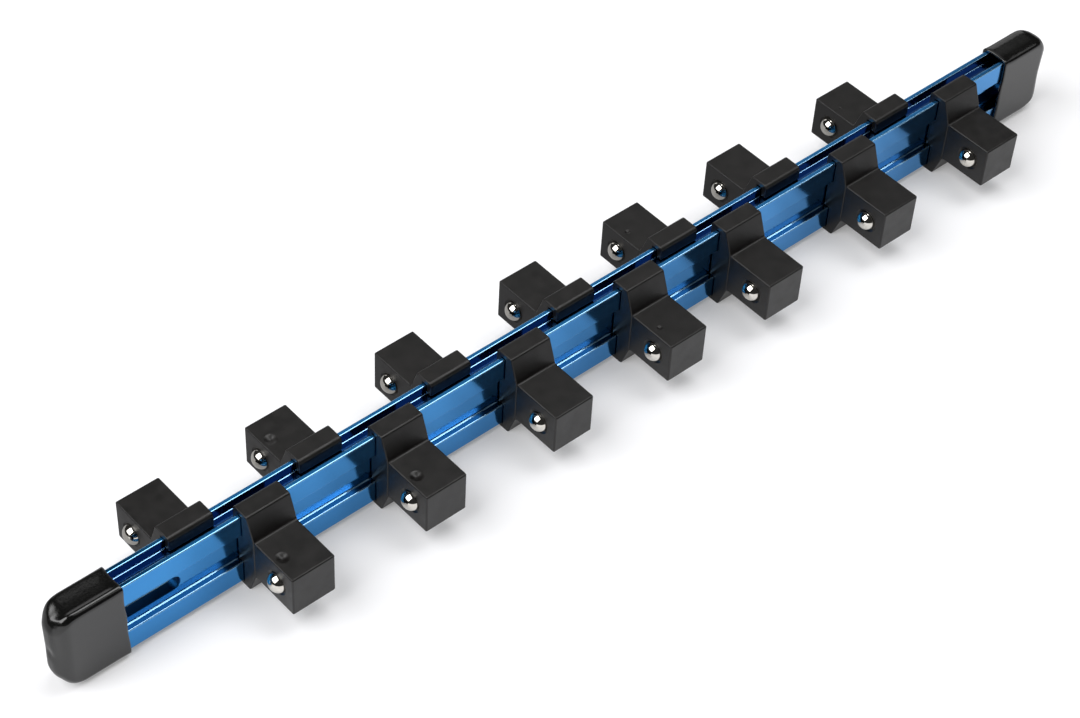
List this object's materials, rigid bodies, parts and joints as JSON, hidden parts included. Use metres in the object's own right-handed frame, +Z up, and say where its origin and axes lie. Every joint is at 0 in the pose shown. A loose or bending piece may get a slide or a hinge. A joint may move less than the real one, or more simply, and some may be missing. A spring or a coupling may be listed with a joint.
{
  "type": "socket rail",
  "caption": "Double sided socket rail: blue aluminium extrusion with vinyl end caps, hanging slots and sliding clips with sprung balls on square drive posts.",
  "frame": {"origin": "middle of the rail's length and width, on the plane that the undersides of the clips stand on", "axes": "+X along the rail from the left cap to the right one, +Y from the front clips to the rear ones, +Z up"},
  "size_m": [0.355, 0.0476, 0.0277],
  "materials": {
    "anodised_aluminium": "glossy blue anodised extrusion with fine die lines",
    "black_vinyl": "soft dip moulded vinyl with a satin gloss",
    "black_nylon": "moulded nylon with a fine matte grain",
    "polished_steel": "polished ball bearing steel",
    "spring_wire": "drawn spring wire"
  },
  "bodies": {
    "rail": {"rail": "anodised_aluminium", "left_end_cap": "black_vinyl", "right_end_cap": "black_vinyl"},
    "front_clip_1": {"front_clip_1": "black_nylon", "front_spring_1": "spring_wire"},
    "front_ball_1": {"front_ball_1": "polished_steel"},
    "front_clip_2": {"front_clip_2": "black_nylon", "front_spring_2": "spring_wire"},
    "front_ball_2": {"front_ball_2": "polished_steel"},
    "front_clip_3": {"front_clip_3": "black_nylon", "front_spring_3": "spring_wire"},
    "front_ball_3": {"front_ball_3": "polished_steel"},
    "front_clip_4": {"front_clip_4": "black_nylon", "front_spring_4": "spring_wire"},
    "front_ball_4": {"front_ball_4": "polished_steel"},
    "front_clip_5": {"front_clip_5": "black_nylon", "front_spring_5": "spring_wire"},
    "front_ball_5": {"front_ball_5": "polished_steel"},
    "front_clip_6": {"front_clip_6": "black_nylon", "front_spring_6": "spring_wire"},
    "front_ball_6": {"front_ball_6": "polished_steel"},
    "front_clip_7": {"front_clip_7": "black_nylon", "front_spring_7": "spring_wire"},
    "front_ball_7": {"front_ball_7": "polished_steel"},
    "rear_clip_1": {"rear_clip_1": "black_nylon", "rear_spring_1": "spring_wire"},
    "rear_ball_1": {"rear_ball_1": "polished_steel"},
    "rear_clip_2": {"rear_clip_2": "black_nylon", "rear_spring_2": "spring_wire"},
    "rear_ball_2": {"rear_ball_2": "polished_steel"},
    "rear_clip_3": {"rear_clip_3": "black_nylon", "rear_spring_3": "spring_wire"},
    "rear_ball_3": {"rear_ball_3": "polished_steel"},
    "rear_clip_4": {"rear_clip_4": "black_nylon", "rear_spring_4": "spring_wire"},
    "rear_ball_4": {"rear_ball_4": "polished_steel"},
    "rear_clip_5": {"rear_clip_5": "black_nylon", "rear_spring_5": "spring_wire"},
    "rear_ball_5": {"rear_ball_5": "polished_steel"},
    "rear_clip_6": {"rear_clip_6": "black_nylon", "rear_spring_6": "spring_wire"},
    "rear_ball_6": {"rear_ball_6": "polished_steel"},
    "rear_clip_7": {"rear_clip_7": "black_nylon", "rear_spring_7": "spring_wire"},
    "rear_ball_7": {"rear_ball_7": "polished_steel"}
  },
  "joints": [
    {"name": "front_clip_1_slide", "type": "slide", "parent": "rail", "child": "front_clip_1", "axis": [1, 0, 0], "range_m": [-0.0347, 0.0135]},
    {"name": "front_ball_1_press", "type": "slide", "parent": "front_clip_1", "child": "front_ball_1", "axis": [1, 0, 0], "range_m": [0, 0.0023], "stiffness_N_per_m": 1500, "springref_m": -0.003, "deforming": ["front_spring_1"]},
    {"name": "front_clip_2_slide", "type": "slide", "parent": "rail", "child": "front_clip_2", "axis": [1, 0, 0], "range_m": [-0.0135, 0.0139]},
    {"name": "front_ball_2_press", "type": "slide", "parent": "front_clip_2", "child": "front_ball_2", "axis": [1, 0, 0], "range_m": [0, 0.0023], "stiffness_N_per_m": 1500, "springref_m": -0.003, "deforming": ["front_spring_2"]},
    {"name": "front_clip_3_slide", "type": "slide", "parent": "rail", "child": "front_clip_3", "axis": [1, 0, 0], "range_m": [-0.0139, 0.0128]},
    {"name": "front_ball_3_press", "type": "slide", "parent": "front_clip_3", "child": "front_ball_3", "axis": [1, 0, 0], "range_m": [0, 0.0023], "stiffness_N_per_m": 1500, "springref_m": -0.003, "deforming": ["front_spring_3"]},
    {"name": "front_clip_4_slide", "type": "slide", "parent": "rail", "child": "front_clip_4", "axis": [1, 0, 0], "range_m": [-0.0128, 0.0108]},
    {"name": "front_ball_4_press", "type": "slide", "parent": "front_clip_4", "child": "front_ball_4", "axis": [1, 0, 0], "range_m": [0, 0.0023], "stiffness_N_per_m": 1500, "springref_m": -0.003, "deforming": ["front_spring_4"]},
    {"name": "front_clip_5_slide", "type": "slide", "parent": "rail", "child": "front_clip_5", "axis": [1, 0, 0], "range_m": [-0.0108, 0.0152]},
    {"name": "front_ball_5_press", "type": "slide", "parent": "front_clip_5", "child": "front_ball_5", "axis": [1, 0, 0], "range_m": [0, 0.0023], "stiffness_N_per_m": 1500, "springref_m": -0.003, "deforming": ["front_spring_5"]},
    {"name": "front_clip_6_slide", "type": "slide", "parent": "rail", "child": "front_clip_6", "axis": [1, 0, 0], "range_m": [-0.0152, 0.0138]},
    {"name": "front_ball_6_press", "type": "slide", "parent": "front_clip_6", "child": "front_ball_6", "axis": [1, 0, 0], "range_m": [0, 0.0023], "stiffness_N_per_m": 1500, "springref_m": -0.003, "deforming": ["front_spring_6"]},
    {"name": "front_clip_7_slide", "type": "slide", "parent": "rail", "child": "front_clip_7", "axis": [1, 0, 0], "range_m": [-0.0138, 0.0136]},
    {"name": "front_ball_7_press", "type": "slide", "parent": "front_clip_7", "child": "front_ball_7", "axis": [1, 0, 0], "range_m": [0, 0.0023], "stiffness_N_per_m": 1500, "springref_m": -0.003, "deforming": ["front_spring_7"]},
    {"name": "rear_clip_1_slide", "type": "slide", "parent": "rail", "child": "rear_clip_1", "axis": [1, 0, 0], "range_m": [-0.016, 0.0123]},
    {"name": "rear_ball_1_press", "type": "slide", "parent": "rear_clip_1", "child": "rear_ball_1", "axis": [1, 0, 0], "range_m": [0, 0.0023], "stiffness_N_per_m": 1500, "springref_m": -0.003, "deforming": ["rear_spring_1"]},
    {"name": "rear_clip_2_slide", "type": "slide", "parent": "rail", "child": "rear_clip_2", "axis": [1, 0, 0], "range_m": [-0.0123, 0.0135]},
    {"name": "rear_ball_2_press", "type": "slide", "parent": "rear_clip_2", "child": "rear_ball_2", "axis": [1, 0, 0], "range_m": [0, 0.0023], "stiffness_N_per_m": 1500, "springref_m": -0.003, "deforming": ["rear_spring_2"]},
    {"name": "rear_clip_3_slide", "type": "slide", "parent": "rail", "child": "rear_clip_3", "axis": [1, 0, 0], "range_m": [-0.0135, 0.014]},
    {"name": "rear_ball_3_press", "type": "slide", "parent": "rear_clip_3", "child": "rear_ball_3", "axis": [1, 0, 0], "range_m": [0, 0.0023], "stiffness_N_per_m": 1500, "springref_m": -0.003, "deforming": ["rear_spring_3"]},
    {"name": "rear_clip_4_slide", "type": "slide", "parent": "rail", "child": "rear_clip_4", "axis": [1, 0, 0], "range_m": [-0.014, 0.0113]},
    {"name": "rear_ball_4_press", "type": "slide", "parent": "rear_clip_4", "child": "rear_ball_4", "axis": [1, 0, 0], "range_m": [0, 0.0023], "stiffness_N_per_m": 1500, "springref_m": -0.003, "deforming": ["rear_spring_4"]},
    {"name": "rear_clip_5_slide", "type": "slide", "parent": "rail", "child": "rear_clip_5", "axis": [1, 0, 0], "range_m": [-0.0113, 0.0123]},
    {"name": "rear_ball_5_press", "type": "slide", "parent": "rear_clip_5", "child": "rear_ball_5", "axis": [1, 0, 0], "range_m": [0, 0.0023], "stiffness_N_per_m": 1500, "springref_m": -0.003, "deforming": ["rear_spring_5"]},
    {"name": "rear_clip_6_slide", "type": "slide", "parent": "rail", "child": "rear_clip_6", "axis": [1, 0, 0], "range_m": [-0.0123, 0.0147]},
    {"name": "rear_ball_6_press", "type": "slide", "parent": "rear_clip_6", "child": "rear_ball_6", "axis": [1, 0, 0], "range_m": [0, 0.0023], "stiffness_N_per_m": 1500, "springref_m": -0.003, "deforming": ["rear_spring_6"]},
    {"name": "rear_clip_7_slide", "type": "slide", "parent": "rail", "child": "rear_clip_7", "axis": [1, 0, 0], "range_m": [-0.0147, 0.0359]},
    {"name": "rear_ball_7_press", "type": "slide", "parent": "rear_clip_7", "child": "rear_ball_7", "axis": [1, 0, 0], "range_m": [0, 0.0023], "stiffness_N_per_m": 1500, "springref_m": -0.003, "deforming": ["rear_spring_7"]}
  ]
}
